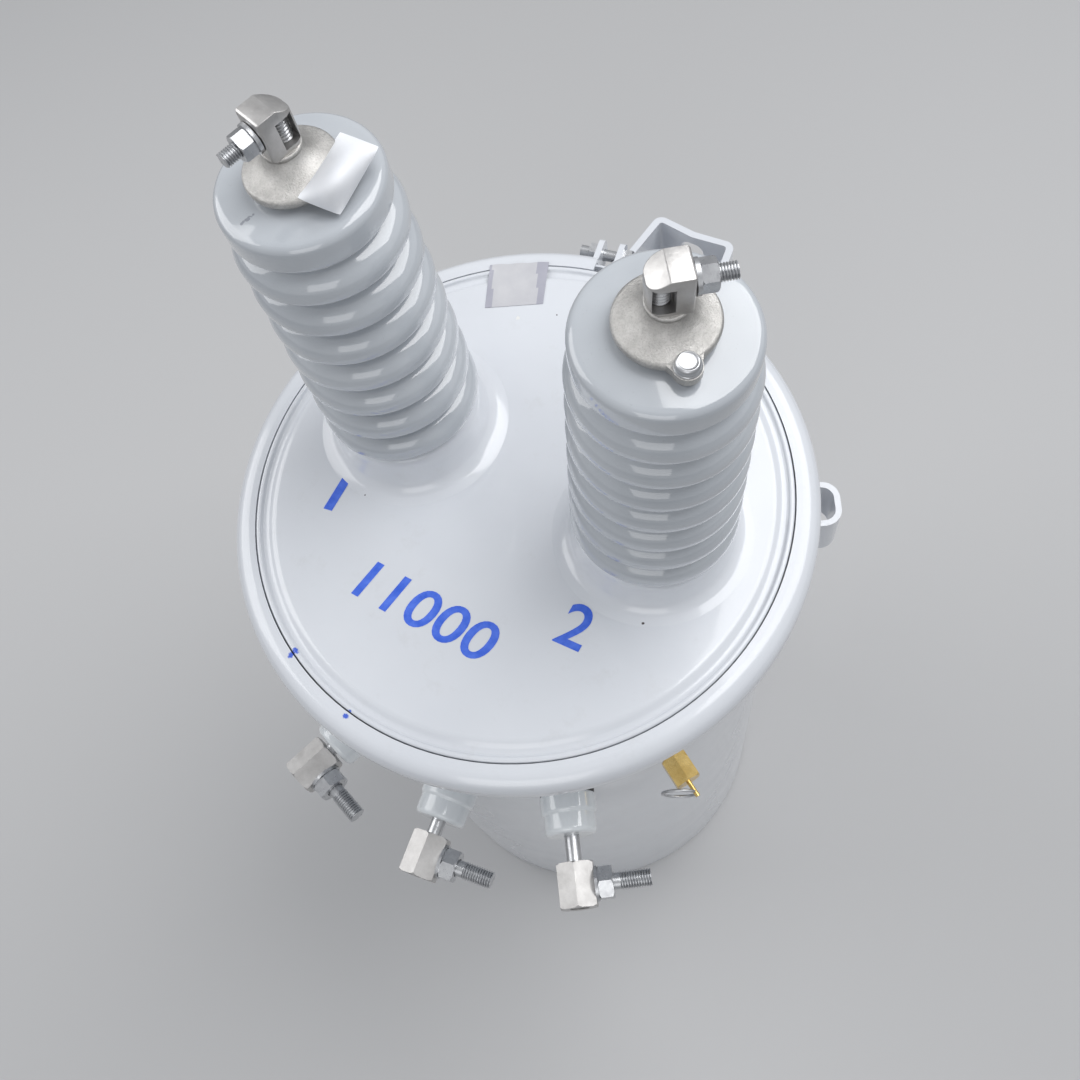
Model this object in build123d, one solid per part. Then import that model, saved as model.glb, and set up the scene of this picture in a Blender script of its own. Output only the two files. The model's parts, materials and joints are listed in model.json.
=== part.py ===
from build123d import *
from math import cos, degrees, radians, sin, sqrt
import os

# Oil-filled pole transformer. Millimetres, +Z up.
# The origin is on the tank axis, at the underside of the bottom plate.
# Front, the low-voltage side, is -Y and the pole brackets are on +Y.
# The high-voltage bushings stand on the cover to the left (-X) and right (+X).

# Tank. band_z is the height of the joint between tank and cover.
tank_r = 170.0
wall = 3.0
bottom_t = 4.0
bottom_edge = 1.5
band_z = 595.0

# Clamp band, a half-round channel with two bolted ears at its break
band_wrap = 8.0
band_half_h = 15.0
band_corner = 12.0
band_t = 2.6
band_clear = 0.3
band_break_angle = 101.0
band_break = 11.0
ear_reach = 15.0
ear_h = 22.0
ear_t = 4.0
ear_round = 6.0
ear_bolt_out = 7.5
ear_bolt_r = 4.0
ear_nut_flats = 13.0
ear_nut_h = 6.5
ear_bolt_spare = 13.0

# Rim, seal and cover edge, which the band holds together
rim_reach = 12.0
rim_round = 4.0
seal_t = 3.0
seal_inset = 1.0
lid_t = 3.0
lid_top = 17.0
lid_edge_step = 3.2
lid_edge_gap = 0.8
lip_round = 2.8
groove_inset = 5.7
groove_depth = 3.2
bead_drop = 1.2

# Raised seats of the high-voltage bushings
hv_x = 87.5
hv_y = 14.1
hv_lean_out = 2.8
hv_lean_back = 0.9
seat_top = 44.0
seat_r_top = 46.0
seat_r_foot = 58.0
seat_round_top = 5.0
seat_round_foot = 9.0
hv_seal_t = 3.0
hv_neck_r = 30.0
hv_neck_clear = 1.0
hv_below = 60.0

# High-voltage porcelain, measured along its own axis from the band's height
shed_count = 7
shed_low = 61.0
crown_at = 243.6
shed_r_low = 50.4
shed_r_top = 47.0
crown_r = 44.5
core_r = 38.0
flange_r = 43.0
crown_rise = 8.5

# High-voltage cap, stud and connector
cap_r = 24.5
cap_h = 7.0
cap_cone_h = 5.0
cap_ear_out = 26.0
cap_ear_r = 7.0
cap_bolt_r = 3.0
cap_bolt_head_r = 5.8
cap_bolt_head_h = 4.5
stud_r = 6.0
stud_in_window = 11.0
stem_r = 12.7
stem_base_h = 2.5
window_w = 12.6
window_h = 14.0
window_round = 2.5
hv_flats = 21.0
hv_head_len = 21.0
hv_bolt_r = 4.0
hv_bolt_rise = 5.0
hv_bolt_out = 18.0
hv_bolt_back = 3.0
hv_nut_flats = 13.0
hv_nut_h = 7.5
bolt_angles = {"left": -106.0, "right": 38.0}
ear_angles = {"left": 15.0, "right": -43.0}

# Low-voltage bushings and connectors, from the tank wall outward
lv_drop = 105.0
lv_angles = (-54.5, -81.0, -108.0)
lv_bare_stud = (18.0, 10.0, 3.0)
lv_collar_r = 19.0
lv_collar_len = 12.0
lv_body_r = 17.5
lv_reach = 29.0
lv_neck_step = 2.0
lv_inside = 30.0
lv_seal_t = 2.0
lv_stud_r = 5.0
lv_stud_in = 12.0
lv_stud_grip = 8.0
lv_flats = 24.0
lv_head_len = 29.0
lv_mouth_r = 6.5
lv_mouth_depth = 7.5
lv_bolt_r = 6.0
lv_bolt_out = 37.0
lv_bolt_back = 5.0
lv_nut_flats = 20.0
lv_nut_h = 10.0
washer_t = 2.0
washer_step = 1.5

# Pole brackets, lifting lugs and relief valve
bracket_reach = 82.0
bracket_half = 31.0
bracket_foot = 43.0
bracket_dent = 3.0
bracket_h = 45.0
bracket_t = 4.5
bracket_drop = 18.0
bracket_pitch = 286.0
bracket_round = 7.0
pole_slot_w = 18.0
pole_slot_len = 30.0
lug_angles = {"left": 148.5, "right": 31.5}
lug_reach = 39.0
lug_half = 16.0
lug_t = 4.0
lug_h = 40.0
lug_drop = 40.0
lug_round = 12.0
valve_angle = -29.5
valve_drop = 92.0
valve_flats = 17.0
valve_stand = 4.5
valve_len = 19.5
valve_thread_r = 6.0
pin_r = 1.6
pin_len = 11.0
ring_r = 11.5
ring_wire_r = 1.0
ring_hole_in = 3.5
ring_turn = 209.5
ring_droop = 30.0

fit = 0.15
through = 60.0

rim_r = tank_r + rim_reach
rim_top = band_z - seal_t
lid_edge_r = tank_r + lid_edge_step
band_open_r = lid_edge_r + lid_edge_gap
band_r = rim_r + band_wrap
stack_half = band_half_h - band_t - band_clear
crown_top = crown_at + crown_rise
cap_top = crown_top + cap_h + cap_cone_h
lv_end = tank_r + lv_reach

os.makedirs("parts", exist_ok=True)


def save(shape, name):
    export_step(shape, f"parts/{name}.step")


def turned(points):
    # each point is (radius, height) or (radius, height, corner radius)
    corners = [point[2] if len(point) == 3 else 0 for point in points]
    outline = FilletPolyline(*[(r, z) for r, z, *_ in points], radius=corners, close=True)
    return revolve(Plane.XZ * make_face(outline), Axis.Z, 360)


def drum(radius, low, high):
    return Pos(0, 0, (low + high) / 2) * Cylinder(radius, high - low)


def tube(outer_r, inner_r, low, high):
    return drum(outer_r, low, high) - drum(inner_r, low - 1, high + 1)


def hexagon(flats, low, high, bevel=0.0):
    body = Pos(0, 0, low) * extrude(RegularPolygon(flats / 2, 6, major_radius=False), high - low)
    if bevel:
        across_corners = 2 * flats / sqrt(3)
        rounding = drum(across_corners / 2, low, high)
        body = body & chamfer(rounding.edges().filter_by(GeomType.CIRCLE), bevel)
    return body


def nut_on_washer(flats, hole_r, start, height):
    top = start + washer_t + height
    nut = hexagon(flats, start + washer_t, top, flats * 0.06)
    washer = drum(flats / 2 + washer_step, start, start + washer_t)
    return nut + washer - drum(hole_r, start - 1, top + 1)


def outward(angle, height):
    # local Z points away from the tank axis and local X points up
    away = (cos(radians(angle)), sin(radians(angle)), 0)
    return Plane(origin=(0, 0, height), x_dir=(0, 0, 1), z_dir=away)


def leaning(side):
    # local Z runs up a high-voltage bushing, from the height of the band's joint
    out = side * sin(radians(hv_lean_out))
    back = sin(radians(hv_lean_back))
    up = sqrt(1 - out * out - back * back)
    return Plane(origin=(side * hv_x, hv_y, band_z), x_dir=(up, 0, -out), z_dir=(out, back, up))


def tank_shell():
    shell = tube(tank_r, tank_r - wall, bottom_t, rim_top)
    for angle in lv_angles:
        hole = drum(lv_body_r - lv_neck_step + fit, tank_r - through / 2, tank_r + through / 2)
        shell -= outward(angle, band_z - lv_drop) * hole
    hole = drum(valve_thread_r + fit, tank_r - through / 2, tank_r + through / 2)
    return shell - outward(valve_angle, band_z - valve_drop) * hole


def tank_rim():
    low = band_z - stack_half
    return turned(
        [
            (tank_r, low),
            (rim_r, low, rim_round),
            (rim_r, rim_top, 1),
            (tank_r, rim_top),
        ]
    )


def cover():
    edge = lid_edge_r
    groove = edge - groove_inset
    inner = edge - lid_t
    floor = lid_top - groove_depth
    sheet = turned(
        [
            (0, lid_top),
            (groove - 6.5, lid_top, 4),
            (groove - 2, floor, 2),
            (groove + 1.2, floor, 1),
            (groove + 2.6, lid_top - bead_drop, 0.8),
            (edge, lid_top - bead_drop, 1.8),
            (edge, lid_t, 1.2),
            (rim_r - lid_t, lid_t, 1.2),
            (rim_r - lid_t, stack_half),
            (rim_r, stack_half, lip_round),
            (rim_r, 0),
            (inner, 0),
            (inner, floor - lid_t, 1.5),
            (groove - 3, floor - lid_t, 2),
            (groove - 7.5, lid_top - lid_t, 2),
            (0, lid_top - lid_t),
        ]
    )
    sheet = Pos(0, 0, band_z) * sheet
    for side in (-1, 1):
        axis = leaning(side)
        seat_plane = axis.offset(seat_top)
        centre = axis.origin + axis.z_dir * (lid_top / axis.z_dir.Z)
        foot_plane = Plane(origin=centre)
        raised = loft([foot_plane * Circle(seat_r_foot), seat_plane * Circle(seat_r_top)], ruled=True)
        raised = fillet(raised.edges().filter_by(GeomType.CIRCLE).sort_by(Axis.Z)[-1], seat_round_top)
        sheet = sheet + raised
        near_foot = centre + Vector(seat_r_foot, 0, 0)
        foot_edge = sheet.edges().filter_by(GeomType.CIRCLE).sort_by_distance(near_foot)[0]
        sheet = fillet(foot_edge, seat_round_foot)
        under_foot = foot_plane.offset(-lid_t) * Circle(seat_r_foot - lid_t)
        under_top = seat_plane.offset(-lid_t) * Circle(seat_r_top - lid_t)
        sheet = sheet - loft([under_foot, under_top], ruled=True)
        sheet = sheet - axis * drum(hv_neck_r + hv_neck_clear, 0, seat_top + 5)
    return sheet


def clamp_band():
    width = band_r - band_open_r
    outline = Pos(band_open_r, band_z) * Rectangle(2 * width, 2 * band_half_h)
    outline = fillet(outline.vertices(), band_corner)
    cavity = Pos(band_open_r, band_z) * Rectangle(2 * (width - band_t), 2 * (band_half_h - band_t))
    cavity = fillet(cavity.vertices(), band_corner - band_t)
    outer_half = Pos(band_open_r + width, band_z) * Rectangle(2 * width, 4 * band_half_h)
    section = (outline - cavity) & outer_half
    break_angle = degrees(band_break / band_r)
    ring = revolve(Plane.XZ * section, Axis.Z, 360 - break_angle)
    ring = Rot(0, 0, band_break_angle + break_angle / 2) * ring
    ear_in = rim_r + 1.5
    ear_length = band_r + ear_reach - ear_in
    for end in (-1, 1):
        ear = Pos(ear_in + ear_length / 2, end * (band_break + ear_t) / 2, band_z)
        ear = ear * Box(ear_length, ear_t, ear_h)
        ear = fillet(ear.edges().filter_by(Axis.Y).group_by(Axis.X)[-1], ear_round)
        ring = ring + Rot(0, 0, band_break_angle) * ear
    hole = Pos(band_r + ear_bolt_out, 0, band_z) * Rot(90, 0, 0) * drum(ear_bolt_r + fit, -30, 30)
    return ring - Rot(0, 0, band_break_angle) * hole


def band_fastening():
    across = Rot(0, 0, band_break_angle) * Pos(band_r + ear_bolt_out, 0, band_z) * Rot(-90, 0, 0)
    face = band_break / 2 + ear_t
    head = hexagon(ear_nut_flats, -face - ear_bolt_r * 1.3, -face, 0.8)
    bolt = drum(ear_bolt_r, -face - 1, face + ear_bolt_spare) + head
    nut = hexagon(ear_nut_flats, face, face + ear_nut_h, 0.8) - drum(ear_bolt_r, 0, through)
    return across * bolt, across * nut


def hv_porcelain():
    seat = seat_top + hv_seal_t
    pitch = (crown_at - shed_low) / shed_count
    lip = pitch * 0.29
    points = [
        (0, seat_top - hv_below),
        (hv_neck_r - 6, seat_top - hv_below, 3),
        (hv_neck_r, seat_top - 12, 5),
        (hv_neck_r, seat),
        (flange_r, seat, 1.5),
    ]
    for number in range(shed_count):
        s = shed_low + number * pitch
        r = shed_r_low + (shed_r_top - shed_r_low) * number / (shed_count - 1)
        root = core_r if number else flange_r
        points += [
            (root, s - lip - 1.3, 1.5),
            (r - 4, s - lip, 2),
            (r, s - lip / 2, 3),
            (r, s + lip * 0.15, 4.5),
            (r - 5, s + lip * 0.95, 5),
            (core_r, s + lip * 1.55, 1.5),
        ]
    points += [
        (core_r, crown_at - pitch * 0.46, 0.8),
        (crown_r - 3, crown_at - pitch * 0.43, 2),
        (crown_r, crown_at - pitch * 0.33, 2),
        (crown_r, crown_at + 0.8, 4),
        (crown_r - 5, crown_at + 4.6, 4),
        (cap_r + 2, crown_top, 4),
        (0, crown_top),
    ]
    return turned(points)


def hv_cap(ear_turn):
    disc = turned(
        [
            (0, crown_top),
            (cap_r, crown_top, 1),
            (cap_r, crown_top + cap_h, 1.5),
            (cap_r - 5, crown_top + cap_h, 2),
            (stem_r + 1, cap_top, 0.8),
            (0, cap_top),
        ]
    )
    ear = Circle(cap_ear_r) + Pos(-cap_ear_out / 2, 0) * Rectangle(cap_ear_out, 2 * cap_ear_r)
    ear = extrude(ear, cap_h)
    ear_place = Rot(0, 0, ear_turn) * Pos(cap_ear_out, 0, crown_top)
    cap = disc + ear_place * ear
    return cap - ear_place * drum(cap_bolt_r + fit, -1, cap_h + cap_bolt_head_h)


def cap_bolt():
    head = drum(cap_bolt_head_r, crown_top + cap_h, crown_top + cap_h + cap_bolt_head_h)
    head = fillet(head.edges().filter_by(GeomType.CIRCLE).group_by(Axis.Z)[-1], 1.5)
    return head + drum(cap_bolt_r, crown_top + 0.5, crown_top + cap_h)


def hv_head():
    # the window shows the stud, and the eyebolt crosses above it under the ridge
    half = hv_flats / 2
    window_low = cap_top + stem_base_h
    bolt_at = window_low + window_h + hv_bolt_rise
    eave = bolt_at + hv_flats / (2 * sqrt(3))
    ridge = bolt_at + hv_flats / sqrt(3)
    gable = FilletPolyline(
        (-half, cap_top), (half, cap_top), (half, eave), (0, ridge), (-half, eave),
        radius=(0, 0, 1.2, 1.5, 1.2),
        close=True,
    )
    body = extrude(Plane.XZ * make_face(gable), hv_head_len / 2, both=True)
    round_stem = drum(stem_r, cap_top, bolt_at)
    above = Pos(0, 0, bolt_at - hv_bolt_r + 50) * Box(100, 100, 100)
    body = body & (round_stem + above)
    window = Pos(0, 0, window_low + window_h / 2) * Box(window_w, 100, window_h)
    window = fillet(window.edges().filter_by(Axis.Y), window_round)
    body = body - window - drum(stud_r + fit, cap_top - 1, window_low + window_round)
    return body - Pos(0, 0, bolt_at) * Rot(0, 90, 0) * drum(hv_bolt_r + fit, -100, 100), bolt_at


def lv_porcelain():
    collar = tank_r + lv_seal_t
    neck_r = lv_body_r - lv_neck_step
    body = turned(
        [
            (0, tank_r - lv_inside),
            (neck_r, tank_r - lv_inside, 3),
            (neck_r, collar),
            (lv_collar_r, collar, 1.5),
            (lv_collar_r, collar + lv_collar_len, 2),
            (lv_body_r, collar + lv_collar_len + 1.5, 1),
            (lv_body_r, lv_end, 3.5),
            (0, lv_end),
        ]
    )
    return body - drum(lv_stud_r + fit, lv_end - lv_stud_in, lv_end + 1)


def pole_bracket(top_z):
    y = tank_r + bracket_reach
    inside = tank_r - wall * 3
    t = bracket_t

    def plan(inset, corner):
        foot = bracket_foot - inset
        half = bracket_half - inset
        line = FilletPolyline(
            (-foot, inside), (-half, y - inset), (0, y - bracket_dent - inset), (half, y - inset), (foot, inside),
            radius=(0, corner, 12, corner, 0),
            close=True,
        )
        return make_face(line)

    strip = extrude(plan(0, bracket_round) - Pos(0, -0.5) * plan(t, bracket_round - t), bracket_h)
    strip = Pos(0, 0, top_z - bracket_h) * strip
    strip = strip - drum(tank_r, top_z - bracket_h - 1, top_z + 1)
    slot = Plane.XZ * SlotOverall(pole_slot_len, pole_slot_w, rotation=90)
    return strip - Pos(0, y, top_z - bracket_h / 2) * extrude(slot, bracket_reach / 2, both=True)


def lifting_lug(angle):
    def loop(half, reach, corner):
        start = tank_r - wall * 3
        length = tank_r + reach - start
        face = Pos(start + length / 2, 0) * Rectangle(length, 2 * half)
        return fillet(face.vertices().group_by(Axis.X)[-1], corner)

    low = band_z - lug_drop - lug_h
    strip = loop(lug_half, lug_reach, lug_round) - loop(lug_half - lug_t, lug_reach - lug_t, lug_round - lug_t)
    strip = Pos(0, 0, low) * extrude(strip, lug_h)
    return Rot(0, 0, angle) * strip - drum(tank_r, low - 1, low + lug_h + 1)


def relief_valve():
    out = outward(valve_angle, band_z - valve_drop)
    start = tank_r + valve_stand
    end = start + valve_len
    pin_end = end + pin_len
    body = drum(valve_thread_r, tank_r - wall * 2, start) + hexagon(valve_flats, start, end, 1.2)
    body = body + drum(pin_r, start, pin_end)
    hook = out.from_local_coords((0, 0, pin_end - ring_hole_in))
    level = Vector(cos(radians(ring_turn)), sin(radians(ring_turn)), 0)
    hang = level * cos(radians(ring_droop)) + Vector(0, 0, -sin(radians(ring_droop)))
    ring_plane = Plane(origin=hook + hang * ring_r, x_dir=hang, z_dir=level.cross(Vector(0, 0, 1)))
    ring = ring_plane * Torus(ring_r, ring_wire_r)
    return out * body - ring_plane * Torus(ring_r, ring_wire_r + fit), ring


# Tank, rim and bottom
save(tank_shell(), "tank_shell")
save(tank_rim(), "tank_rim")
bottom = drum(tank_r, 0, bottom_t)
save(chamfer(bottom.edges().group_by(Axis.Z)[0], bottom_edge), "tank_bottom")

# Seal, cover and clamp band
save(tube(rim_r - seal_inset, tank_r - seal_inset, rim_top, band_z), "cover_gasket")
save(cover(), "cover")
save(clamp_band(), "clamp_band")
band_bolt, band_nut = band_fastening()
save(band_bolt, "band_bolt")
save(band_nut, "band_nut")

# High-voltage bushings
for side, word in ((-1, "left"), (1, "right")):
    axis = leaning(side)
    save(axis * hv_porcelain(), f"hv_bushing_{word}")
    save(axis * tube(flange_r, hv_neck_r, seat_top, seat_top + hv_seal_t), f"hv_gasket_{word}")
    save(axis * hv_cap(ear_angles[word]), f"hv_cap_{word}")
    save(axis * Rot(0, 0, ear_angles[word]) * Pos(cap_ear_out, 0, 0) * cap_bolt(), f"hv_cap_bolt_{word}")
    head, bolt_at = hv_head()
    turn = axis * Rot(0, 0, bolt_angles[word])
    along = turn * Pos(0, 0, bolt_at) * Rot(0, 90, 0)
    face = hv_flats / 2
    save(axis * drum(stud_r, cap_top, cap_top + stem_base_h + stud_in_window), f"hv_stud_{word}")
    save(turn * head, f"hv_connector_{word}")
    save(along * drum(hv_bolt_r, -face - hv_bolt_back, face + hv_bolt_out), f"hv_eyebolt_{word}")
    save(along * nut_on_washer(hv_nut_flats, hv_bolt_r, face, hv_nut_h), f"hv_nut_{word}")

# Low-voltage bushings
for number, (angle, bare) in enumerate(zip(lv_angles, lv_bare_stud), start=1):
    out = outward(angle, band_z - lv_drop)
    start = lv_end + bare
    save(out * lv_porcelain(), f"lv_bushing_{number}")
    seal = out * tube(lv_collar_r - 0.5, lv_body_r - lv_neck_step, tank_r - wall, tank_r + lv_seal_t)
    save(seal - drum(tank_r, bottom_t, rim_top), f"lv_gasket_{number}")
    save(out * drum(lv_stud_r, lv_end - lv_stud_in, start + lv_stud_grip), f"lv_stud_{number}")
    across = Pos(0, 0, start + lv_head_len / 2) * Rot(90, 0, 0)
    block = hexagon(lv_flats, start, start + lv_head_len, 1.2)
    block = block - drum(lv_stud_r, start - 1, start + lv_stud_grip)
    block = block - drum(lv_mouth_r, start + lv_head_len - lv_mouth_depth, start + lv_head_len + 1)
    save(out * (block - across * drum(lv_bolt_r + fit, -through, through)), f"lv_connector_{number}")
    face = lv_flats / 2
    save(out * across * drum(lv_bolt_r, -face - lv_bolt_back, face + lv_bolt_out), f"lv_eyebolt_{number}")
    save(out * across * nut_on_washer(lv_nut_flats, lv_bolt_r, face, lv_nut_h), f"lv_nut_{number}")

# Pole brackets and lifting lugs
save(pole_bracket(band_z - bracket_drop), "pole_bracket_upper")
save(pole_bracket(band_z - bracket_drop - bracket_pitch), "pole_bracket_lower")
for word, angle in lug_angles.items():
    save(lifting_lug(angle), f"lifting_lug_{word}")

# Relief valve and its pull ring
valve, pull_ring = relief_valve()
save(valve, "relief_valve")
save(pull_ring, "relief_ring")
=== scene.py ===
import bpy
import json
from math import cos, pi, radians, sin, sqrt
from mathutils import Matrix, Vector


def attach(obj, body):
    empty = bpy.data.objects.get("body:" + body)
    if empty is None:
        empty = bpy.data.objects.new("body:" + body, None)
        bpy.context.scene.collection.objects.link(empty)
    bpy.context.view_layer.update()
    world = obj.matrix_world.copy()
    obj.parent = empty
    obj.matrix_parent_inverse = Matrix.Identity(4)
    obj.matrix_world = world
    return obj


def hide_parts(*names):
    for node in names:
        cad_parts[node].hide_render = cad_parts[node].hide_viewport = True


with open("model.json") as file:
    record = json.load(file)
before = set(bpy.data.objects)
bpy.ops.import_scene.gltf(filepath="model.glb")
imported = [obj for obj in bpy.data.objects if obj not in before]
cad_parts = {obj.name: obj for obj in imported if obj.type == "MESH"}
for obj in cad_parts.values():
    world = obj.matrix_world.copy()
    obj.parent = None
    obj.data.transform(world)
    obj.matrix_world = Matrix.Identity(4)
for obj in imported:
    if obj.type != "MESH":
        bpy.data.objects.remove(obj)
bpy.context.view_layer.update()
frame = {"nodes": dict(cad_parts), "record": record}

# Places on the transformer, in metres and degrees
JOINT_HEIGHT = 0.595
COVER_RISE = 0.0170
COVER_TOP = 0.612
BUSHING_X = 0.0875
BUSHING_Y = 0.0141
LEAN_OUT = 2.8
LEAN_BACK = 0.9
LEAN_COSINE = 0.9987

# The porcelain, measured along its own axis from the joint
SHED_COUNT = 7
FIRST_SHED = 0.061
CROWN_MIDDLE = 0.2436
LOWEST_SHED_RADIUS = 0.0502
SHED_TAPER = 0.0032
STEM_RADIUS = 0.0375

# The terminals on top: how far out the cap's ear is, and where bolt and stud cross
EAR_OUT = 0.026
CLAMP_BOLT_HEIGHT = 0.2856
STUD_SHIFT = -0.0034

# The three terminals round the front
TERMINAL_HEIGHT = 0.490
TERMINAL_ANGLES = (-54.5, -81.0, -108.0)
TERMINAL_HEADS = (0.217, 0.209, 0.202)


# ---- working habits


def start_fresh():
    if bpy.context.object and bpy.context.object.mode != "OBJECT":
        bpy.ops.object.mode_set(mode="OBJECT")
    bpy.ops.object.select_all(action="DESELECT")


def settle(piece):
    # puts the object's place, turn and size into its mesh
    start_fresh()
    piece.select_set(True)
    bpy.context.view_layer.objects.active = piece
    bpy.ops.object.transform_apply(location=True, rotation=True, scale=True)


def hand_over(piece, name, material, slot, *nodes):
    # names and dresses a piece, and hides the plain solids it stands in for
    piece.name = name
    piece.data.name = name
    piece.data.materials.clear()
    piece.data.materials.append(material)
    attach(piece, "root")
    if nodes:
        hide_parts(*nodes)
    return piece


def set_along(place, heading, up):
    # local Z points along heading, and local X lies as near to up as it can
    z = Vector(heading).normalized()
    x = (Vector(up) - z * z.dot(Vector(up))).normalized()
    y = z.cross(x)
    turn = Matrix((x, y, z)).transposed().to_4x4()
    return Matrix.Translation(Vector(place)) @ turn


def bushing_axis(side):
    # runs up the middle of a tall bushing; side is -1 for the left one and 1 for the right
    out = side * sin(radians(LEAN_OUT))
    back = sin(radians(LEAN_BACK))
    up = sqrt(1 - out * out - back * back)
    return set_along((side * BUSHING_X, BUSHING_Y, JOINT_HEIGHT), (out, back, up), (up, 0, -out))


def terminal_axis(angle):
    # runs straight out of the tank wall at a front terminal
    heading = (cos(radians(angle)), sin(radians(angle)), 0)
    return set_along((0, 0, TERMINAL_HEIGHT), heading, (0, 0, 1))


# ---- finishes


def blank_finish(name):
    # place is where on the object a point lies, so that no pattern depends on unwrapping
    material = bpy.data.materials.new(name)
    material.use_nodes = True
    nodes = material.node_tree.nodes
    links = material.node_tree.links
    shader = nodes["Principled BSDF"]
    place = nodes.new("ShaderNodeTexCoord").outputs["Object"]
    return material, nodes, links, shader, place


def patches(nodes, links, place, scale, detail=4.0, roughness=0.55):
    # a cloudy pattern between 0 and 1
    texture = nodes.new("ShaderNodeTexNoise")
    texture.inputs["Scale"].default_value = scale
    texture.inputs["Detail"].default_value = detail
    texture.inputs["Roughness"].default_value = roughness
    links.new(place, texture.inputs["Vector"])
    return texture.outputs["Fac"]


def spread(nodes, links, value, low, high, start=0.3, end=0.7):
    # stretches the run from start to end over low to high
    ramp = nodes.new("ShaderNodeMapRange")
    ramp.inputs["From Min"].default_value = start
    ramp.inputs["From Max"].default_value = end
    ramp.inputs["To Min"].default_value = low
    ramp.inputs["To Max"].default_value = high
    links.new(value, ramp.inputs["Value"])
    return ramp.outputs["Result"]


def blend_colour(nodes, links, amount, under, over):
    mix = nodes.new("ShaderNodeMix")
    mix.data_type = "RGBA"
    links.new(amount, mix.inputs["Factor"])
    for socket, colour in ((mix.inputs[6], under), (mix.inputs[7], over)):
        if isinstance(colour, tuple):
            socket.default_value = (*colour, 1)
        else:
            links.new(colour, socket)
    return mix.outputs[2]


def relief(nodes, links, heights, normal_in):
    # each height is (value, depth in metres)
    last = None
    for value, depth in heights:
        bump = nodes.new("ShaderNodeBump")
        bump.inputs["Strength"].default_value = 1.0
        bump.inputs["Distance"].default_value = depth
        links.new(value, bump.inputs["Height"])
        if last:
            links.new(last, bump.inputs["Normal"])
        last = bump.outputs["Normal"]
    links.new(last, normal_in)


def spot(nodes, links, place, centre, radius):
    # 1 inside a small uneven spot and 0 outside it
    distance = nodes.new("ShaderNodeVectorMath")
    distance.operation = "DISTANCE"
    distance.inputs[1].default_value = centre
    links.new(place, distance.inputs[0])
    wobble = patches(nodes, links, place, 420.0, 2.0)
    uneven = spread(nodes, links, wobble, 0.0, radius * 0.9, 0.25, 0.75)
    total = nodes.new("ShaderNodeMath")
    total.operation = "ADD"
    links.new(distance.outputs["Value"], total.inputs[0])
    links.new(uneven, total.inputs[1])
    return spread(nodes, links, total.outputs[0], 1.0, 0.0, radius * 0.9, radius * 1.25)


def enamel(name, marks=()):
    # glossy tank paint; marks are (centre, radius, colour)
    material, nodes, links, shader, place = blank_finish(name)
    tone = spread(nodes, links, patches(nodes, links, place, 9.0), 0.0, 1.0)
    colour = blend_colour(nodes, links, tone, ENAMEL_DARK, ENAMEL_LIGHT)
    dust = patches(nodes, links, place, 55.0, 8.0, 0.7)
    dust = spread(nodes, links, dust, 0.0, 0.22, 0.58, 0.82)
    colour = blend_colour(nodes, links, dust, colour, DUST)
    for centre, radius, paint in marks:
        mark = spot(nodes, links, place, centre, radius)
        colour = blend_colour(nodes, links, mark, colour, paint)
    links.new(colour, shader.inputs["Base Color"])
    worn = patches(nodes, links, place, 14.0, 2.0, 0.4)
    links.new(spread(nodes, links, worn, 0.16, 0.26), shader.inputs["Roughness"])
    shader.inputs["Coat Weight"].default_value = 0.6
    shader.inputs["Coat Roughness"].default_value = 0.06
    peel = patches(nodes, links, place, 330.0, 2.0, 0.4)
    sag = patches(nodes, links, place, 24.0, 1.0, 0.3)
    relief(nodes, links, ((sag, 0.00010), (peel, 0.000004)), shader.inputs["Normal"])
    return material


def glaze(name, dark, light, speckle, marks=()):
    # fired glass glaze with fine dark specks; marks are (centre, radius, colour)
    material, nodes, links, shader, place = blank_finish(name)
    cloud = spread(nodes, links, patches(nodes, links, place, 16.0, 3.0), 0.0, 1.0)
    colour = blend_colour(nodes, links, cloud, dark, light)
    specks = patches(nodes, links, place, 700.0, 2.0, 0.8)
    specks = spread(nodes, links, specks, 0.0, speckle, 0.66, 0.74)
    colour = blend_colour(nodes, links, specks, colour, GLAZE_SPECK)
    for centre, radius, dirt in marks:
        mark = spot(nodes, links, place, centre, radius)
        colour = blend_colour(nodes, links, mark, colour, dirt)
    links.new(colour, shader.inputs["Base Color"])
    dull = spread(nodes, links, patches(nodes, links, place, 40.0), 0.07, 0.17)
    links.new(dull, shader.inputs["Roughness"])
    shader.inputs["Coat Weight"].default_value = 0.8
    shader.inputs["Coat Roughness"].default_value = 0.03
    flow = patches(nodes, links, place, 38.0, 2.0, 0.3)
    relief(nodes, links, ((flow, 0.00025),), shader.inputs["Normal"])
    return material


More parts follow.
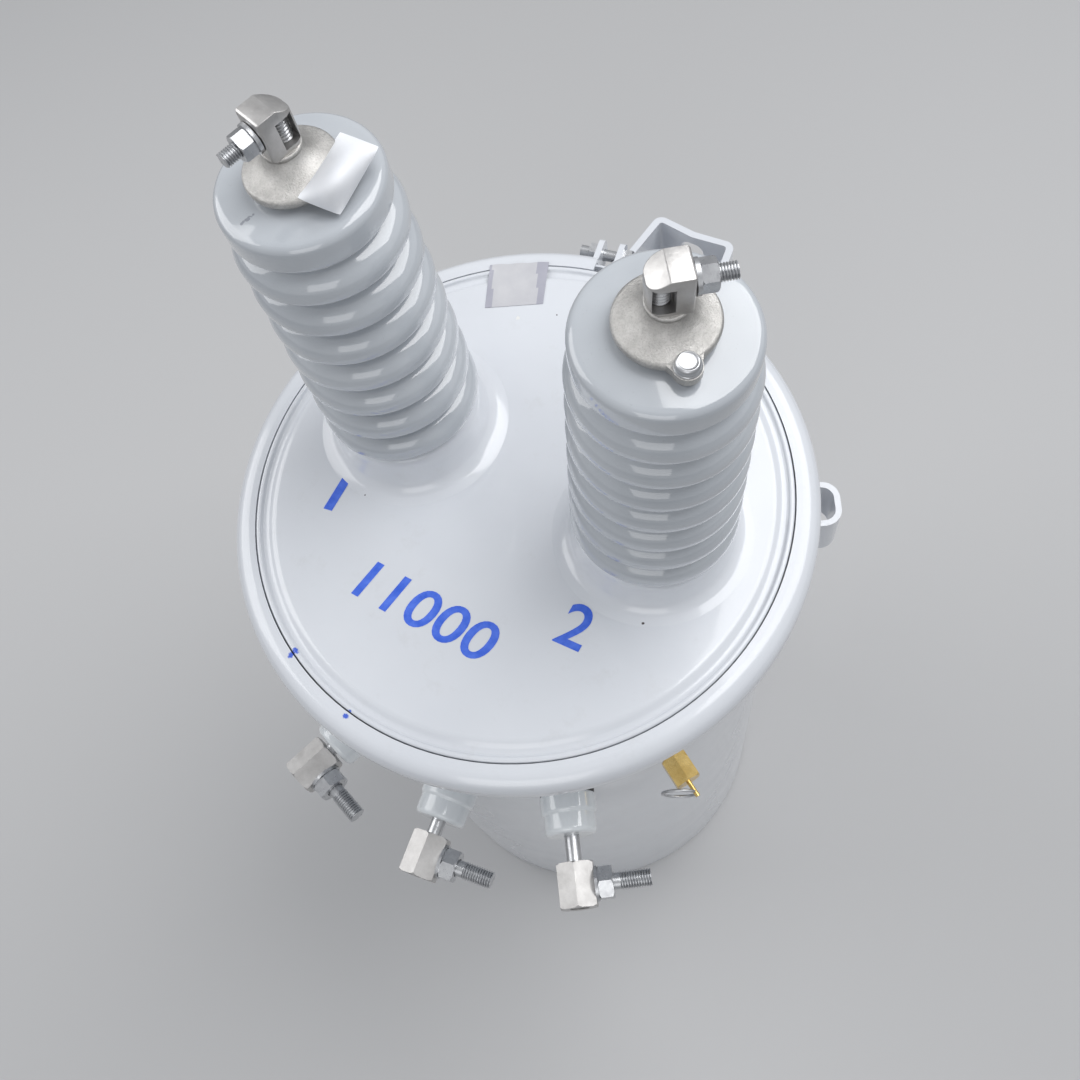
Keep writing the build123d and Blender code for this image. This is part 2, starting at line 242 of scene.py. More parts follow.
def bare_metal(name, dark, light, gloss, patch, grain, depth, scratch=0.0):
    # patch and grain are pattern scales; depth and scratch are depths in metres
    material, nodes, links, shader, place = blank_finish(name)
    cloud = patches(nodes, links, place, patch, 6.0, 0.7)
    colour = blend_colour(nodes, links, spread(nodes, links, cloud, 0.0, 1.0), dark, light)
    fine = patches(nodes, links, place, grain, 5.0, 0.7)
    pits = spread(nodes, links, fine, min(0.6, depth * 1500), 0.0, 0.34, 0.52)
    colour = blend_colour(nodes, links, pits, colour, METAL_PIT)
    links.new(colour, shader.inputs["Base Color"])
    shader.inputs["Metallic"].default_value = 1.0
    dull = patches(nodes, links, place, patch * 2.3, 5.0, 0.7)
    links.new(spread(nodes, links, dull, gloss[0], gloss[1]), shader.inputs["Roughness"])
    heights = [(fine, depth)]
    if scratch:
        lines = nodes.new("ShaderNodeTexWave")
        lines.inputs["Scale"].default_value = 420.0
        lines.inputs["Distortion"].default_value = 6.0
        lines.inputs["Detail"].default_value = 3.0
        links.new(place, lines.inputs["Vector"])
        heights.append((lines.outputs["Fac"], scratch))
    relief(nodes, links, heights, shader.inputs["Normal"])
    return material


def soft_rubber(name):
    material, nodes, links, shader, place = blank_finish(name)
    cloud = spread(nodes, links, patches(nodes, links, place, 60.0, 5.0), 0.0, 1.0)
    colour = blend_colour(nodes, links, cloud, (0.035, 0.034, 0.033), (0.075, 0.073, 0.070))
    links.new(colour, shader.inputs["Base Color"])
    links.new(spread(nodes, links, cloud, 0.55, 0.75, 0.0, 1.0), shader.inputs["Roughness"])
    grain = patches(nodes, links, place, 500.0)
    relief(nodes, links, ((grain, 0.0001),), shader.inputs["Normal"])
    return material


def brushed_paint(name):
    # blue marking paint, put on thin with a brush
    material, nodes, links, shader, place = blank_finish(name)
    thin = patches(nodes, links, place, 160.0, 4.0, 0.6)
    thin = spread(nodes, links, thin, 0.0, 1.0, 0.35, 0.75)
    colour = blend_colour(nodes, links, thin, (0.030, 0.110, 0.640), (0.085, 0.190, 0.780))
    links.new(colour, shader.inputs["Base Color"])
    links.new(spread(nodes, links, thin, 0.30, 0.48, 0.0, 1.0), shader.inputs["Roughness"])
    strokes = patches(nodes, links, place, 300.0)
    relief(nodes, links, ((strokes, 0.00008),), shader.inputs["Normal"])
    return material


def film(name, dark, light):
    # thin glossy label film, slightly wrinkled
    material, nodes, links, shader, place = blank_finish(name)
    cloud = spread(nodes, links, patches(nodes, links, place, 45.0, 3.0), 0.0, 1.0)
    colour = blend_colour(nodes, links, cloud, dark, light)
    links.new(colour, shader.inputs["Base Color"])
    links.new(spread(nodes, links, cloud, 0.16, 0.28, 0.0, 1.0), shader.inputs["Roughness"])
    shader.inputs["Coat Weight"].default_value = 0.5
    wrinkles = patches(nodes, links, place, 70.0, 3.0, 0.5)
    relief(nodes, links, ((wrinkles, 0.0006),), shader.inputs["Normal"])
    return material


def paper(name):
    material, nodes, links, shader, place = blank_finish(name)
    cloud = spread(nodes, links, patches(nodes, links, place, 60.0, 4.0), 0.0, 1.0)
    colour = blend_colour(nodes, links, cloud, (0.80, 0.82, 0.86), (0.86, 0.87, 0.90))
    links.new(colour, shader.inputs["Base Color"])
    links.new(spread(nodes, links, cloud, 0.45, 0.62, 0.0, 1.0), shader.inputs["Roughness"])
    fibres = patches(nodes, links, place, 900.0, 4.0, 0.7)
    relief(nodes, links, ((fibres, 0.00006),), shader.inputs["Normal"])
    return material


ENAMEL_DARK = (0.640, 0.662, 0.706)
ENAMEL_LIGHT = (0.676, 0.698, 0.738)
DUST = (0.47, 0.465, 0.45)
GLAZE_SPECK = (0.20, 0.20, 0.21)
METAL_PIT = (0.33, 0.32, 0.31)
WHITE_DROP = (0.74, 0.74, 0.73)
DARK_SPECK = (0.06, 0.05, 0.05)
BLUE_SPOT = (0.05, 0.12, 0.60)
SCUFF = (0.26, 0.275, 0.31)
tank_enamel = enamel("tank enamel")
cover_enamel = enamel(
    "cover enamel",
    (
        ((-0.068, -0.026, COVER_TOP), 0.0022, WHITE_DROP),
        ((-0.089, -0.047, COVER_TOP), 0.0009, DARK_SPECK),
        ((0.111, -0.042, COVER_TOP), 0.0012, DARK_SPECK),
        ((-0.0424, 0.126, COVER_TOP), 0.0010, DARK_SPECK),
        ((-0.0654, 0.1125, COVER_TOP), 0.0020, WHITE_DROP),
        ((-0.0712, -0.1560, 0.6108), 0.0030, BLUE_SPOT),
        ((-0.0205, -0.1722, 0.6108), 0.0022, BLUE_SPOT),
    ),
)
band_enamel = enamel(
    "band enamel",
    (
        ((-0.0728, -0.1590, 0.6100), 0.0032, BLUE_SPOT),
        ((-0.0208, -0.1755, 0.6100), 0.0026, BLUE_SPOT),
    ),
)
grey_glaze = glaze(
    "grey porcelain glaze",
    (0.425, 0.452, 0.487),
    (0.495, 0.522, 0.556),
    0.18,
    (
        ((-0.1090, -0.0164, 0.8449), 0.0011, SCUFF),
        ((-0.1084, -0.0151, 0.8450), 0.0014, SCUFF),
        ((-0.1077, -0.0138, 0.8450), 0.0016, SCUFF),
        ((-0.1071, -0.0125, 0.8450), 0.0016, SCUFF),
        ((-0.1066, -0.0112, 0.8451), 0.0014, SCUFF),
        ((-0.1062, -0.0099, 0.8451), 0.0012, SCUFF),
    ),
)
white_glaze = glaze("white porcelain glaze", (0.70, 0.735, 0.76), (0.76, 0.79, 0.81), 0.06)
tinned = bare_metal(
    "tinned casting", (0.44, 0.43, 0.42), (0.58, 0.57, 0.56), (0.30, 0.46), 70.0, 300.0, 0.00008
)
rough_tinned = bare_metal(
    "rough tinned casting",
    (0.41, 0.40, 0.385),
    (0.58, 0.57, 0.55),
    (0.32, 0.50),
    120.0,
    1100.0,
    0.00040,
)
plated = bare_metal(
    "zinc plated steel",
    (0.42, 0.425, 0.44),
    (0.58, 0.59, 0.60),
    (0.24, 0.38),
    130.0,
    700.0,
    0.00002,
    0.00001,
)
valve_brass = bare_metal(
    "valve brass",
    (0.62, 0.42, 0.13),
    (0.86, 0.64, 0.26),
    (0.16, 0.30),
    110.0,
    600.0,
    0.00003,
    0.00001,
)
rubber = soft_rubber("seal rubber")
marking_blue = brushed_paint("blue marking paint")
label_film = film("plain label film", (0.50, 0.50, 0.53), (0.58, 0.58, 0.60))
label_strip = film("label edge strip", (0.36, 0.36, 0.42), (0.42, 0.42, 0.48))
tag_paper = paper("blank tag paper")


def dress_frame():
    # every plain solid gets the finish of its slot, also where a finer piece replaces it
    by_slot = {
        "tank_paint": tank_enamel,
        "rubber": rubber,
        "grey_glaze": grey_glaze,
        "white_glaze": white_glaze,
        "tinned_casting": tinned,
        "plated_bolt": plated,
        "brass": valve_brass,
    }
    own = {"cover": cover_enamel, "clamp_band": band_enamel}
    for part in frame["record"]["subparts"]:
        node = frame["nodes"][part["node"]]
        material = own.get(part["node"], by_slot[part["material_slot"]])
        if not node.material_slots:
            node.data.materials.append(material)
        for slot in node.material_slots:
            slot.material = material


# ---- screw threads


def threaded_rod(name, placement, low, high, radius, pitch, node):
    # one turn of the thread's edge is drawn, run up the rod and trimmed at both ends
    start_fresh()
    bpy.ops.mesh.primitive_plane_add(size=0.001)
    rod = bpy.context.object
    bpy.ops.object.mode_set(mode="EDIT")
    bpy.ops.mesh.select_all(action="SELECT")
    bpy.ops.mesh.merge(type="CENTER")
    root = radius - pitch * 0.6
    bpy.ops.transform.translate(value=(root, 0, low - pitch))
    flanks = ((pitch * 0.6, pitch * 0.38), (0, pitch * 0.2), (-pitch * 0.6, pitch * 0.42))
    for outward, along in flanks:
        bpy.ops.mesh.extrude_region_move(TRANSFORM_OT_translate={"value": (outward, 0, along)})
    bpy.ops.object.mode_set(mode="OBJECT")
    winding = rod.modifiers.new("winding", "SCREW")
    winding.axis = "Z"
    winding.angle = 2 * pi
    winding.screw_offset = pitch
    winding.iterations = int((high - low) / pitch) + 3
    winding.steps = 20
    winding.render_steps = 20
    bpy.ops.object.modifier_apply(modifier=winding.name)
    bpy.ops.object.mode_set(mode="EDIT")
    bpy.ops.mesh.select_all(action="SELECT")
    bpy.ops.mesh.remove_doubles(threshold=0.00001)
    along_rod = (0, 0, 1)
    bpy.ops.mesh.bisect(plane_co=(0, 0, low), plane_no=along_rod, use_fill=True, clear_inner=True)
    bpy.ops.mesh.select_all(action="SELECT")
    bpy.ops.mesh.bisect(plane_co=(0, 0, high), plane_no=along_rod, use_fill=True, clear_outer=True)
    bpy.ops.mesh.select_all(action="SELECT")
    bpy.ops.mesh.normals_make_consistent(inside=False)
    bpy.ops.object.mode_set(mode="OBJECT")
    bpy.ops.object.shade_smooth_by_angle(angle=radians(28))
    rod.matrix_world = placement
    settle(rod)
    return hand_over(rod, name, plated, "plated_bolt", node)


# ---- turned and cast pieces


def turned_piece(outline, steps=96, closed=False):
    # outline is (radius, height, rounding reach); it is drawn, rounded at its corners and spun
    start_fresh()
    bpy.ops.mesh.primitive_plane_add(size=0.001)
    piece = bpy.context.object
    bpy.ops.object.mode_set(mode="EDIT")
    bpy.ops.mesh.select_all(action="SELECT")
    bpy.ops.mesh.merge(type="CENTER")
    bpy.ops.transform.translate(value=(outline[0][0], 0, outline[0][1]))
    path = list(outline[1:]) + ([outline[0]] if closed else [])
    r, z = outline[0][:2]
    for next_r, next_z, *_ in path:
        step = (next_r - r, 0, next_z - z)
        bpy.ops.mesh.extrude_region_move(TRANSFORM_OT_translate={"value": step})
        r, z = next_r, next_z
    bpy.ops.mesh.select_all(action="SELECT")
    bpy.ops.mesh.remove_doubles(threshold=0.00001)
    for reach in sorted({point[2] for point in outline if point[2] > 0}):
        corners = [Vector((r, 0, z)) for r, z, own_reach in outline if own_reach == reach]
        bpy.ops.mesh.select_all(action="DESELECT")
        bpy.ops.object.mode_set(mode="OBJECT")
        for v in piece.data.vertices:
            v.select = any((v.co - corner).length < 0.00005 for corner in corners)
        bpy.ops.object.mode_set(mode="EDIT")
        bpy.ops.mesh.bevel(offset=reach, segments=5, affect="VERTICES")
    bpy.ops.mesh.select_all(action="SELECT")
    bpy.ops.mesh.spin(steps=steps, angle=2 * pi, center=(0, 0, 0), axis=(0, 0, 1))
    bpy.ops.mesh.select_all(action="SELECT")
    bpy.ops.mesh.remove_doubles(threshold=0.00001)
    bpy.ops.mesh.normals_make_consistent(inside=False)
    bpy.ops.object.mode_set(mode="OBJECT")
    bpy.ops.object.shade_smooth_by_angle(angle=radians(32))
    return piece


def another(piece):
    start_fresh()
    twin = piece.copy()
    twin.data = piece.data.copy()
    bpy.context.collection.objects.link(twin)
    return twin


def put_down(piece, placement):
    piece.matrix_world = placement
    settle(piece)
    return piece


def combine(piece, other, how):
    # joins other to the piece or cuts it away, and uses it up
    start_fresh()
    bpy.context.view_layer.objects.active = piece
    piece.select_set(True)
    cut = piece.modifiers.new("combine", "BOOLEAN")
    cut.operation = how
    cut.object = other
    cut.solver = "EXACT"
    bpy.ops.object.modifier_apply(modifier=cut.name)
    bpy.data.objects.remove(other, do_unlink=True)
    return piece


def soften(piece, width, angle):
    # rounds every edge that is sharper than angle
    start_fresh()
    bpy.context.view_layer.objects.active = piece
    piece.select_set(True)
    edge = piece.modifiers.new("soft edges", "BEVEL")
    edge.width = width
    edge.segments = 3
    edge.limit_method = "ANGLE"
    edge.angle_limit = radians(angle)
    bpy.ops.object.modifier_apply(modifier=edge.name)
    bpy.ops.object.shade_smooth_by_angle(angle=radians(35))
    return piece


def block(low, high):
    # a plain box from one corner to the other
    start_fresh()
    middle = [(a + b) / 2 for a, b in zip(low, high)]
    bpy.ops.mesh.primitive_cube_add(size=1.0, location=middle)
    piece = bpy.context.object
    piece.scale = [b - a for a, b in zip(low, high)]
    settle(piece)
    return piece


def round_upright_edges(piece, at_x, reach, segments):
    # rounds the edges that stand along local Z at the given X
    start_fresh()
    piece.select_set(True)
    bpy.context.view_layer.objects.active = piece
    bpy.ops.object.mode_set(mode="EDIT")
    bpy.ops.mesh.select_all(action="DESELECT")
    bpy.ops.object.mode_set(mode="OBJECT")
    points = piece.data.vertices
    for edge in piece.data.edges:
        a, b = (points[i].co for i in edge.vertices)
        upright = abs(a.x - b.x) < 0.0001 and abs(a.y - b.y) < 0.0001
        edge.select = upright and abs(a.x - at_x) < 0.0001
    bpy.ops.object.mode_set(mode="EDIT")
    bpy.ops.mesh.select_mode(type="EDGE")
    bpy.ops.mesh.bevel(offset=reach, segments=segments)
    bpy.ops.mesh.select_mode(type="VERT")
    bpy.ops.object.mode_set(mode="OBJECT")
    return piece


def make_porcelain():
    # outlines hold (radius, height along the axis, corner rounding)
    pitch = (CROWN_MIDDLE - FIRST_SHED) / SHED_COUNT
    foot_radius = 0.043
    outline = [
        (0, -0.016, 0),
        (0.024, -0.016, 0.003),
        (0.030, 0.030, 0.003),
        (0.030, 0.047, 0),
        (foot_radius, 0.047, 0.0015),
    ]
    for number in range(SHED_COUNT):
        s = FIRST_SHED + number * pitch
        r = LOWEST_SHED_RADIUS - SHED_TAPER * number / (SHED_COUNT - 1)
        root = STEM_RADIUS if number else foot_radius
        outline += [
            (root, s - 0.0104, 0.0014),
            (r - 0.0036, s - 0.0098, 0.0018),
            (r, s - 0.0082, 0.0024),
            (r, s + 0.0022, 0.0052),
            (r - 0.0070, s + 0.0074, 0.0028),
            (0.0372, s + 0.0090, 0.0014),
        ]
    outline += [
        (STEM_RADIUS, 0.2290, 0.0012),
        (0.0405, 0.2298, 0.0014),
        (0.0443, 0.2325, 0.0022),
        (0.0443, 0.2478, 0.0034),
        (0.0400, 0.2496, 0.0012),
        (0.0230, 0.2513, 0.0030),
        (0.0200, 0.2520, 0.0008),
        (0, 0.2520, 0),
    ]
    porcelain = turned_piece(outline, 112)
    for side, word, piece in ((-1, "left", another(porcelain)), (1, "right", porcelain)):
        put_down(piece, bushing_axis(side))
        hand_over(piece, f"porcelain_{word}", grey_glaze, "grey_glaze", f"hv_bushing_{word}")


def make_cover():
    outline = [
        (0, COVER_RISE, 0),
        (0.1610, COVER_RISE, 0.0022),
        (0.1655, 0.0138, 0.0014),
        (0.1690, 0.0138, 0.0010),
        (0.1702, 0.0158, 0.0007),
        (0.1732, 0.0158, 0.0016),
        (0.1732, 0.0030, 0.0010),
        (0.1790, 0.0030, 0.0010),
        (0.1790, 0.0121, 0),
        (0.1820, 0.0121, 0.0026),
        (0.1820, 0.0, 0),
        (0.1702, 0.0, 0),
        (0.1702, 0.0108, 0.0012),
        (0.1645, 0.0108, 0.0016),
        (0.1600, 0.0140, 0.0016),
        (0, 0.0140, 0),
    ]
    cover = turned_piece(outline, 160)
    put_down(cover, Matrix.Translation((0, 0, JOINT_HEIGHT)))
    hand_over(cover, "cover_pressed", cover_enamel, "tank_paint", "cover")
    # the raised seat flares out of the cover with a wide soft curve
    flare = [
        (0.0310, 0.0150, 0),
        (0.0640, 0.0150, 0),
        (0.0640, 0.0169, 0),
        (0.0600, 0.0173, 0.0030),
        (0.0530, 0.0195, 0.0045),
        (0.0488, 0.0285, 0.0060),
        (0.0470, 0.0405, 0.0030),
        (0.0440, 0.0440, 0.0022),
        (0.0310, 0.0440, 0),
    ]
    # its foot lies level on the cover, and its top leans square to the bushing
    seat = turned_piece(flare, 128, closed=True)
    level_below = 0.025
    leaning_run = 0.019
    for side, word, piece in ((-1, "left", another(seat)), (1, "right", seat)):
        axis = bushing_axis(side)
        turn = axis.to_3x3()
        foot = axis @ Vector((0, 0, COVER_RISE))
        for v in piece.data.vertices:
            climb = turn @ Vector((0, 0, (v.co.z - COVER_RISE) / LEAN_COSINE))
            share = 0.0 if v.co.z < level_below else (v.co.z - level_below) / leaning_run
            level = Vector((v.co.x, v.co.y, 0))
            leaning = turn @ level
            v.co = foot + climb + level.lerp(leaning, share)
        piece.data.update()
        hand_over(piece, f"cover_seat_{word}", cover_enamel, "tank_paint", "cover")


def make_cap():
    disc = turned_piece(
        [
            (0, 0.2510, 0),
            (0.0195, 0.2510, 0),
            (0.0195, 0.2546, 0),
            (0.0238, 0.2546, 0.0007),
            (0.0246, 0.2562, 0.0007),
            (0.0244, 0.2596, 0.0016),
            (0.0180, 0.2612, 0.0040),
            (0.0118, 0.2660, 0.0034),
            (0.0102, 0.2704, 0.0004),
            (0.0107, 0.2712, 0.0004),
            (0.0107, 0.2722, 0.0004),
            (0.0102, 0.2730, 0.0004),
            (0.0, 0.2730, 0),
        ],
        96,
    )
    # the ear is a round eye with a web that narrows towards it
    start_fresh()
    bpy.ops.mesh.primitive_cylinder_add(
        vertices=48, radius=0.0068, depth=0.0046, location=(EAR_OUT, 0, 0.2571)
    )
    ear = bpy.context.object
    settle(ear)
    web = block((0.014, -0.0125, 0.2548), (0.0268, 0.0125, 0.2594))
    for v in web.data.vertices:
        if v.co.x > 0.02:
            v.co.y *= 0.52
    combine(ear, web, "UNION")
    combine(disc, ear, "UNION")
    return soften(disc, 0.0009, 40)


def make_cap_bolt():
    # washer and round head above the ear, nut and bolt end below it
    return turned_piece(
        [
            (0, 0.2636, 0),
            (0.0040, 0.2636, 0.0006),
            (0.0046, 0.2641, 0.0004),
            (0.0058, 0.2630, 0.0010),
            (0.0058, 0.2606, 0.0008),
            (0.0064, 0.2600, 0.0004),
            (0.0064, 0.2594, 0),
            (0.0030, 0.2594, 0),
            (0.0030, 0.2546, 0),
            (0.0052, 0.2546, 0.0004),
            (0.0052, 0.2510, 0.0006),
            (0.0030, 0.2506, 0.0003),
            (0.0030, 0.2498, 0.0006),
            (0, 0.2498, 0),
        ],
        48,
    )


def make_connector():
    # the block is square on the nut's side, round on the other, and open through the middle
    body = block((-0.0104, -0.0086, 0.2726), (0.0100, 0.0086, 0.2966))
    round_upright_edges(body, -0.0104, 0.0066, 8)
    round_upright_edges(body, 0.0100, 0.0016, 3)
    start_fresh()
    body.select_set(True)
    bpy.context.view_layer.objects.active = body
    bpy.ops.object.mode_set(mode="EDIT")
    bpy.ops.mesh.select_all(action="SELECT")
    ridge = (-0.0012, 0, 0.2966)
    roof = (-0.55, 0, 0.835)
    bpy.ops.mesh.bisect(plane_co=ridge, plane_no=roof, use_fill=True, clear_outer=True)
    bpy.ops.object.mode_set(mode="OBJECT")
    soften(body, 0.0007, 25)
    window = block((-0.0082, -0.02, 0.2750), (0.0016, 0.02, 0.2905))
    combine(body, window, "DIFFERENCE")
    bpy.ops.object.shade_smooth_by_angle(angle=radians(28))
    return body


def make_terminals_on_top():
    # each cap, with its ear, and each connector is turned its own way on its bushing
    cap = make_cap()
    bolt = make_cap_bolt()
    connector = make_connector()
    for side, word, bolt_turn, ear_turn in ((-1, "left", -106.0, 15.0), (1, "right", 38.0, -43.0)):
        axis = bushing_axis(side)
        ear = axis @ Matrix.Rotation(radians(ear_turn), 4, "Z")
        turn = axis @ Matrix.Rotation(radians(bolt_turn), 4, "Z")
        piece = put_down(another(cap), ear)
        hand_over(piece, f"cap_cast_{word}", rough_tinned, "tinned_casting", f"hv_cap_{word}")
        piece = put_down(another(bolt), ear @ Matrix.Translation((EAR_OUT, 0, 0)))
        hand_over(piece, f"cap_bolt_{word}", plated, "plated_bolt", f"hv_cap_bolt_{word}")
        piece = put_down(another(connector), turn)
        name = f"connector_cast_{word}"
        hand_over(piece, name, tinned, "tinned_casting", f"hv_connector_{word}")
        across = turn @ Matrix.Translation((0, 0, CLAMP_BOLT_HEIGHT))
        across = across @ Matrix.Rotation(radians(90), 4, "Y")
        name = f"thread_hv_eyebolt_{word}"
        threaded_rod(name, across, 0.0020, 0.0285, 0.004, 0.00125, f"hv_eyebolt_{word}")
        upright = turn @ Matrix.Translation((STUD_SHIFT, 0, 0))
        name = f"thread_hv_stud_{word}"
        threaded_rod(name, upright, 0.2735, 0.2912, 0.0047, 0.0020, f"hv_stud_{word}")
    for spare in (cap, bolt, connector):
        bpy.data.objects.remove(spare, do_unlink=True)


def make_eyebolts():
    # smooth shank through the block, thread on the last stretch
    block_middle = 0.0145
    outline = [
        (0, -0.0122, 0),
        (0.0052, -0.0122, 0.0012),
        (0.0054, 0.0290, 0.0006),
        (0, 0.0290, 0),
    ]
    for number, (angle, head) in enumerate(zip(TERMINAL_ANGLES, TERMINAL_HEADS), start=1):
        node = f"lv_eyebolt_{number}"
        across = terminal_axis(angle) @ Matrix.Translation((0, 0, head + block_middle))
        across = across @ Matrix.Rotation(radians(90), 4, "X")
        shank = turned_piece(outline, 40)
        put_down(shank, across)
        hand_over(shank, f"shank_{node}", plated, "plated_bolt", node)
        threaded_rod(f"thread_{node}", across, 0.0288, 0.049, 0.0059, 0.00175, node)


# ---- marks, label and tag


def painted_number(name, words, centre, height, width, turn, slant):
    # plain figures of the given size lie on the cover as a thin coat of paint
    start_fresh()
    bpy.ops.object.text_add(location=(0, 0, 0))
    text = bpy.context.object
    text.data.body = words
    text.data.align_x = "CENTER"
    text.data.align_y = "CENTER"
    text.data.size = 1.0
    text.data.offset = 0.012
    text.data.extrude = 0.005
    text.data.resolution_u = 6
    text.data.shear = slant
    bpy.ops.object.convert(target="MESH")
    number = bpy.context.object
    xs = [v.co.x for v in number.data.vertices]
    ys = [v.co.y for v in number.data.vertices]
    middle = Vector(((min(xs) + max(xs)) / 2, (min(ys) + max(ys)) / 2, 0))
    for v in number.data.vertices:
        v.co -= middle
    scale_x = width / (max(xs) - min(xs))
    scale_y = height / (max(ys) - min(ys))
    number.scale = (scale_x, scale_y, 0.03)
    number.rotation_euler = (0, 0, radians(turn))
    number.location = (centre[0], centre[1], COVER_TOP + 0.00005)
    settle(number)
    return hand_over(number, name, marking_blue, "tank_paint")


def make_numbers():
    painted_number("paint_number_left", "1", (-0.1060, -0.0545), 0.0245, 0.0095, 10.0, 0.10)
    painted_number("paint_number_right", "2", (0.0755, -0.0620), 0.0285, 0.0180, 3.0, 0.05)
    painted_number("paint_number_front", "11000", (-0.0110, -0.0960), 0.0265, 0.0980, -1.0, 0.12)


def cover_edge_height(radius):
    # the film lies on the cover, bridges the groove and laps onto the band
    if radius < 0.160:
        return COVER_TOP
    fall = min((radius - 0.160) / 0.014, 1.0)
    return COVER_TOP - 0.0016 * fall * fall * (3 - 2 * fall)


def make_label():
    start_fresh()
    bpy.ops.mesh.primitive_grid_add(x_subdivisions=26, y_subdivisions=24, size=1.0)
    label = bpy.context.object
    corners = ((-0.0901, 0.1098), (-0.0554, 0.1297), (-0.0690, 0.1621), (-0.1054, 0.1425))
    for v in label.data.vertices:
        u = v.co.x + 0.5
        w = v.co.y + 0.5
        near = Vector(corners[0]).lerp(Vector(corners[1]), u)
        far = Vector(corners[3]).lerp(Vector(corners[2]), u)
        on_cover = near.lerp(far, w)
        ripple = 0.0003 * (1 - cos(2 * pi * 3 * u)) * w * w
        height = cover_edge_height(on_cover.length) + 0.00022 + ripple
        v.co = (on_cover.x, on_cover.y, height)
    label.data.materials.append(label_film)
    label.data.materials.append(label_strip)
    # the two end strips are the faces furthest out along the label
    lengthwise = Vector((0.866, 0.5, 0))
    for face in label.data.polygons:
        steps = [label.data.vertices[i].co.dot(lengthwise) for i in face.vertices]
        middle = sum(steps) / len(steps)
        face.material_index = 1 if middle < -0.0180 or middle > 0.0130 else 0
    wall = label.modifiers.new("film", "SOLIDIFY")
    wall.thickness = 0.00018
    wall.offset = 1.0
    bpy.ops.object.modifier_apply(modifier=wall.name)
    bpy.ops.object.shade_smooth_by_angle(angle=radians(40))
    # two materials, so it is named and put on here and not by hand_over
    label.name = "label_plain"
    label.data.name = "label_plain"
    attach(label, "root")


TAG_BULGE = 0.0180


def make_tag():
    # a blank paper tag that arches over the left cap and its bolt
    start_fresh()
    bpy.ops.mesh.primitive_grid_add(x_subdivisions=22, y_subdivisions=30, size=1.0)
    tag = bpy.context.object
    near = (Vector((-0.0838, 0.0015, 0.8560)), Vector((-0.0644, 0.0057, 0.8490)))
    far = (Vector((-0.0890, 0.0450, 0.8525)), Vector((-0.0654, 0.0442, 0.8540)))
    toward = Vector((0.2328, -0.2265, 0.6871 + JOINT_HEIGHT)) - Vector((-0.0770, 0.0240, 0.8560))
    for v in tag.data.vertices:
        u = v.co.x + 0.5
        w = v.co.y + 0.5
        flat = near[0].lerp(near[1], u).lerp(far[0].lerp(far[1], u), w)
        rise = [sin(pi * min(max(share, 0), 1)) ** 0.8 for share in (u, w)]
        bulge = TAG_BULGE * rise[0] * rise[1]
        curl = 0.003 * max(0.0, w - 0.72) / 0.28 * u
        v.co = flat + toward.normalized() * (bulge + curl)
    smooth = tag.modifiers.new("even", "SMOOTH")
    smooth.iterations = 2
    bpy.ops.object.modifier_apply(modifier=smooth.name)
    wall = tag.modifiers.new("sheet", "SOLIDIFY")
    wall.thickness = 0.0003
    wall.offset = 1.0
    bpy.ops.object.modifier_apply(modifier=wall.name)
    bpy.ops.object.shade_smooth_by_angle(angle=radians(40))
    return hand_over(tag, "tag_blank", tag_paper, "tank_paint")


# ---- studio


def plain_surface(name, colour):
    material, nodes, links, shader, place = blank_finish(name)
    shader.inputs["Base Color"].default_value = (*colour, 1)
    shader.inputs["Roughness"].default_value = 0.9
    return material


def soft_lamp(name, place, target, size, power):
    start_fresh()
    bpy.ops.object.light_add(type="AREA", location=place)
    lamp = bpy.context.object
    lamp.name = name
    lamp.data.shape = "SQUARE"
    lamp.data.size = size
    lamp.data.energy = power
    aim = Vector(target) - Vector(place)
    lamp.rotation_euler = aim.to_track_quat("-Z", "Y").to_euler()
    return lamp


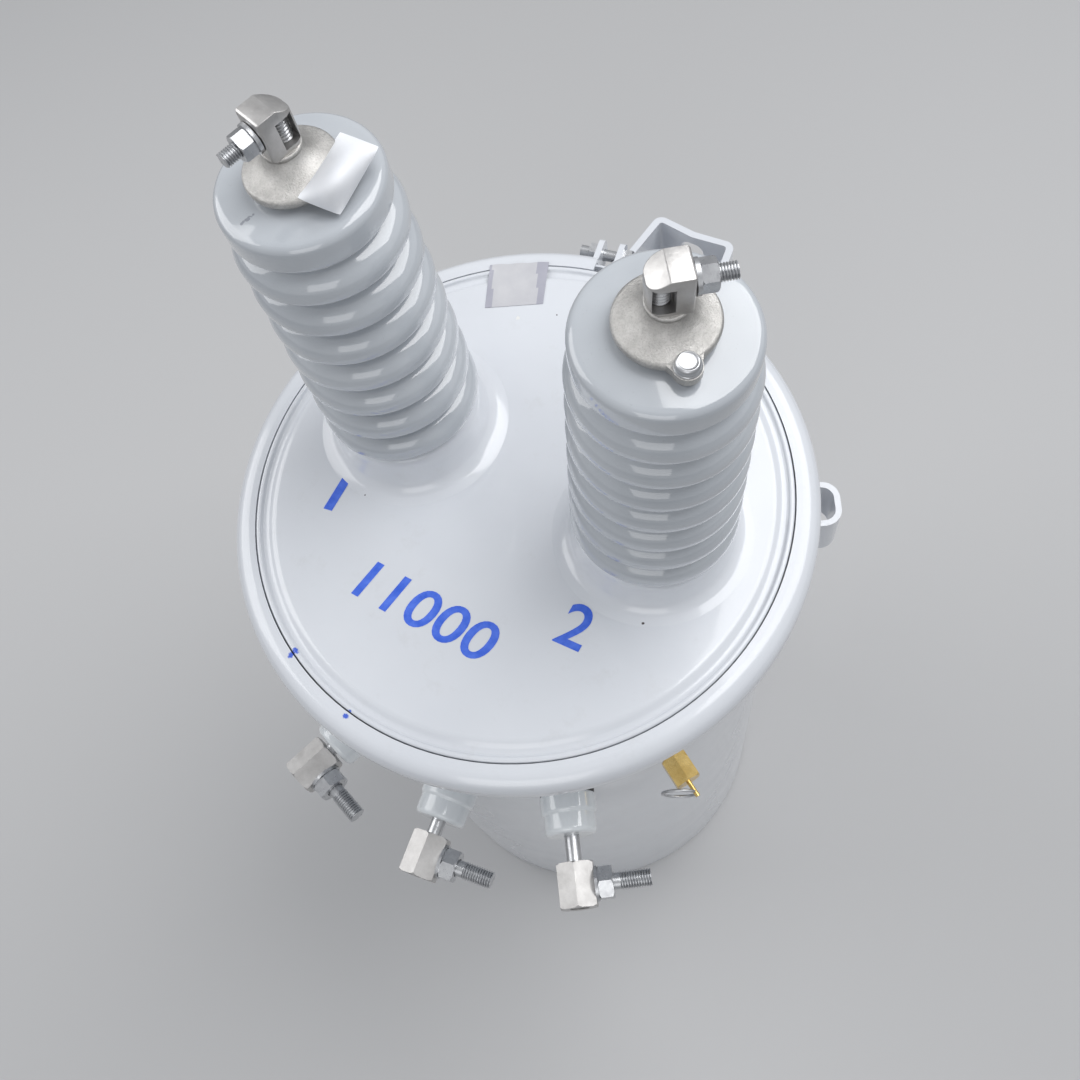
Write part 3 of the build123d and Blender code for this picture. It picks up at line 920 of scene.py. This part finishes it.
def make_studio():
    start_fresh()
    bpy.ops.mesh.primitive_plane_add(size=14.0, location=(0, 0, -0.0002))
    floor = bpy.context.object
    floor.name = "studio_floor"
    floor.data.materials.append(plain_surface("studio floor", (0.52, 0.52, 0.525)))
    soft_lamp("window_lamp", (0.60, 0.95, 2.30), (0, 0, 0.62), 1.7, 35.0)
    soft_lamp("left_lamp", (-1.45, -0.35, 1.60), (0, 0, 0.6), 1.3, 12.0)
    soft_lamp("front_lamp", (0.75, -1.70, 1.60), (0, 0, 0.4), 1.2, 7.0)
    world = bpy.data.worlds.new("studio air")
    bpy.context.scene.world = world
    world.use_nodes = True
    nodes = world.node_tree.nodes
    links = world.node_tree.links
    air = nodes["Background"]
    air.inputs["Color"].default_value = (0.93, 0.96, 1.0, 1)
    air.inputs["Strength"].default_value = 0.40
    # the eye, shiny metal and glass all see the same pale wall behind the object
    wall = nodes.new("ShaderNodeBackground")
    wall.inputs["Color"].default_value = (0.62, 0.63, 0.65, 1)
    wall.inputs["Strength"].default_value = 1.0
    path = nodes.new("ShaderNodeLightPath")
    seen = path.outputs["Is Camera Ray"]
    for kind in ("Is Glossy Ray", "Is Transmission Ray"):
        either = nodes.new("ShaderNodeMath")
        either.operation = "MAXIMUM"
        links.new(seen, either.inputs[0])
        links.new(path.outputs[kind], either.inputs[1])
        seen = either.outputs[0]
    choose = nodes.new("ShaderNodeMixShader")
    links.new(seen, choose.inputs[0])
    links.new(air.outputs[0], choose.inputs[1])
    links.new(wall.outputs[0], choose.inputs[2])
    links.new(choose.outputs[0], nodes["World Output"].inputs["Surface"])


def make_camera():
    start_fresh()
    bpy.ops.object.camera_add()
    camera = bpy.context.object
    camera.name = "photo_camera"
    camera.data.sensor_width = 36.0
    camera.data.lens = 38.86
    camera.data.clip_start = 0.02
    right = Vector((0.86454, 0.48925, -0.11491))
    up = Vector((-0.41734, 0.8263, 0.37822))
    back = Vector((0.27999, -0.27903, 0.91856))
    turn = Matrix((right, up, back)).transposed().to_4x4()
    camera.matrix_world = Matrix.Translation((0.232829, -0.226454, 1.282108)) @ turn
    bpy.context.scene.camera = camera


make_camera()
make_studio()
dress_frame()
make_cover()
make_porcelain()
make_terminals_on_top()
make_eyebolts()
make_numbers()
make_label()
make_tag()

bpy.context.scene.view_settings.view_transform = "Standard"
